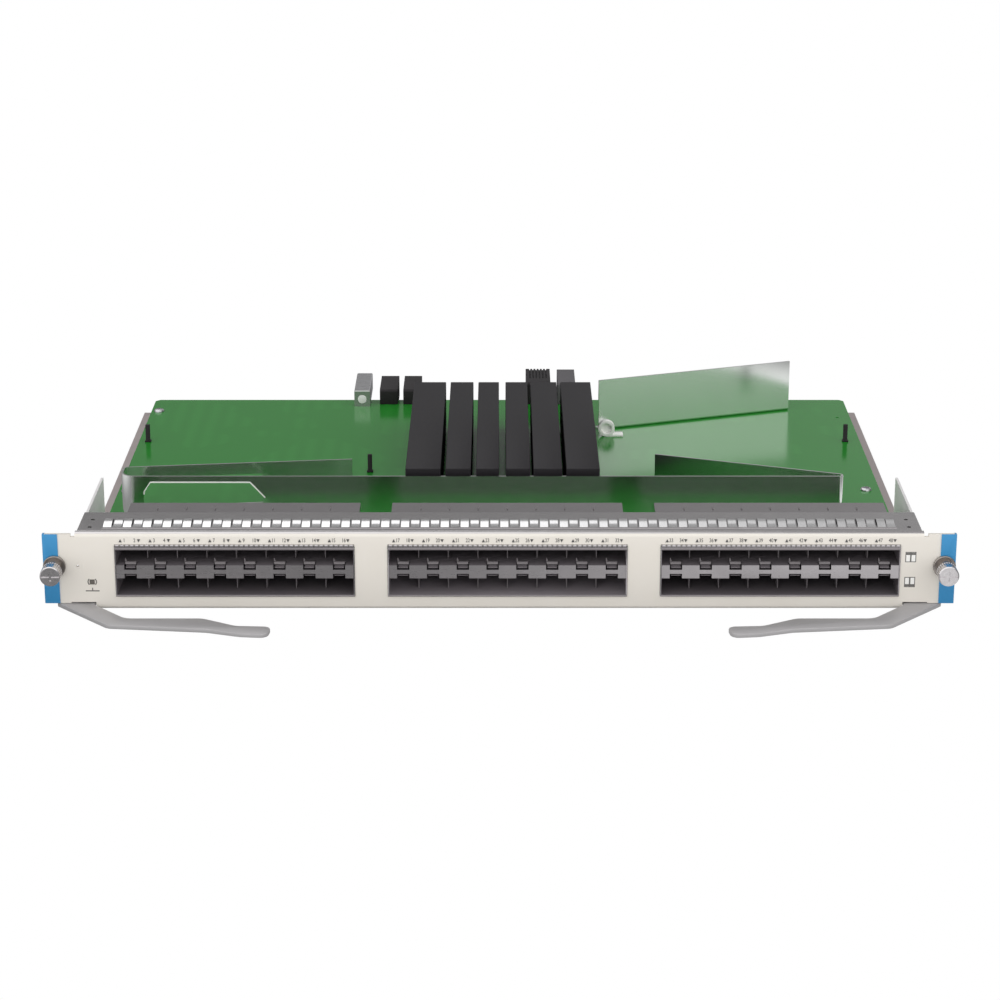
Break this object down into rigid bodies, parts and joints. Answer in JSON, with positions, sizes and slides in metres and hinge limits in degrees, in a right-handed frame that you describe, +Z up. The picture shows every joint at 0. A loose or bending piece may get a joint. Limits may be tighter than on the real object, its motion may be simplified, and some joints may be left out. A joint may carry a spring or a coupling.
{
  "type": "switch line card",
  "caption": "Plug-in line card for a modular storage network switch: rows of transceiver ports in a folded faceplate, with captive screws, ejector levers and a board on a tray.",
  "frame": {"origin": "middle of the tray's underside", "axes": "+X to the right along the faceplate seen from the front, +Y from the faceplate to the backplane connectors, +Z up from the tray to the heat sinks"},
  "size_m": [0.436, 0.3966, 0.0397],
  "materials": {
    "cream_paint": "satin",
    "blue_plastic": "satin",
    "plated_sheet": "satin",
    "spring_sheet": "bright",
    "cage_sheet": "satin",
    "divider_sheet": "satin",
    "light_window": "satin",
    "status_window": "gloss",
    "circuit_board": "satin",
    "tray_sheet": "satin",
    "polished_sheet": "polished",
    "black_anodised": "matte",
    "black_plastic": "matte",
    "gray_plastic": "matte",
    "cast_gray": "satin",
    "bright_steel": "bright",
    "white_plastic": "satin",
    "lever_paint": "satin",
    "screw_steel": "bright",
    "knob_finish": "satin"
  },
  "bodies": {
    "card": {"air_baffle": "polished_sheet", "board_posts": "black_plastic", "board_screws": "bright_steel", "board_standoffs": "bright_steel", "cage_divider_1": "divider_sheet", "cage_divider_2": "divider_sheet", "cage_divider_3": "divider_sheet", "cage_septa_1": "cage_sheet", "cage_septa_2": "cage_sheet", "cage_septa_3": "cage_sheet", "cage_shell_1": "cage_sheet", "cage_shell_2": "cage_sheet", "cage_shell_3": "cage_sheet", "fabric_connector": "gray_plastic", "faceplate": "cream_paint", "finger_strip": "spring_sheet", "front_frame": "plated_sheet", "guide_block": "cast_gray", "guide_bush": "bright_steel", "guide_clip": "white_plastic", "heatsink_1": "black_anodised", "heatsink_2": "black_anodised", "heatsink_3": "black_anodised", "heatsink_4": "black_anodised", "heatsink_5": "black_anodised", "heatsink_6": "black_anodised", "left_end_cap": "blue_plastic", "left_screw_spring": "screw_steel", "lever_pins": "bright_steel", "main_board": "circuit_board", "port_chips": "black_plastic", "port_connectors_1": "black_plastic", "port_connectors_2": "black_plastic", "port_connectors_3": "black_plastic", "port_lights_1": "light_window", "port_lights_2": "light_window", "port_lights_3": "light_window", "power_connector_1": "black_plastic", "power_connector_2": "black_plastic", "right_end_cap": "blue_plastic", "right_screw_spring": "screw_steel", "screw_ferrules": "bright_steel", "signal_connector": "black_plastic", "status_light": "status_window", "tall_guide": "polished_sheet", "tray": "tray_sheet"},
    "left_lever": {"left_ejector_lever": "lever_paint"},
    "right_lever": {"right_ejector_lever": "lever_paint"},
    "left_screw_carrier": {"left_screw_washer": "screw_steel"},
    "left_screw": {"left_screw_shaft": "screw_steel", "left_screw_knob": "knob_finish"},
    "right_screw_carrier": {"right_screw_washer": "screw_steel"},
    "right_screw": {"right_screw_shaft": "screw_steel", "right_screw_knob": "knob_finish"}
  },
  "joints": [
    {"name": "left_lever_pivot", "type": "hinge", "parent": "card", "child": "left_lever", "pos_m": [-0.2066, -0.153, 0.0019], "axis": [0, 0, 1], "range_deg": [-65, 0]},
    {"name": "left_screw_travel", "type": "slide", "parent": "card", "child": "left_screw_carrier", "axis": [0, 1, 0], "range_m": [0, 0.0032], "stiffness_N_per_m": 400, "springref_m": -0.002, "deforming": ["left_screw_spring"]},
    {"name": "left_screw_turn", "type": "hinge", "parent": "left_screw_carrier", "child": "left_screw", "pos_m": [-0.2126, -0.162, 0.0221], "axis": [0, 1, 0], "continuous": true},
    {"name": "right_lever_pivot", "type": "hinge", "parent": "card", "child": "right_lever", "pos_m": [0.2066, -0.153, 0.0019], "axis": [0, 0, 1], "range_deg": [0, 65]},
    {"name": "right_screw_travel", "type": "slide", "parent": "card", "child": "right_screw_carrier", "axis": [0, 1, 0], "range_m": [0, 0.0032], "stiffness_N_per_m": 400, "springref_m": -0.002, "deforming": ["right_screw_spring"]},
    {"name": "right_screw_turn", "type": "hinge", "parent": "right_screw_carrier", "child": "right_screw", "pos_m": [0.2126, -0.162, 0.0221], "axis": [0, 1, 0], "continuous": true}
  ]
}
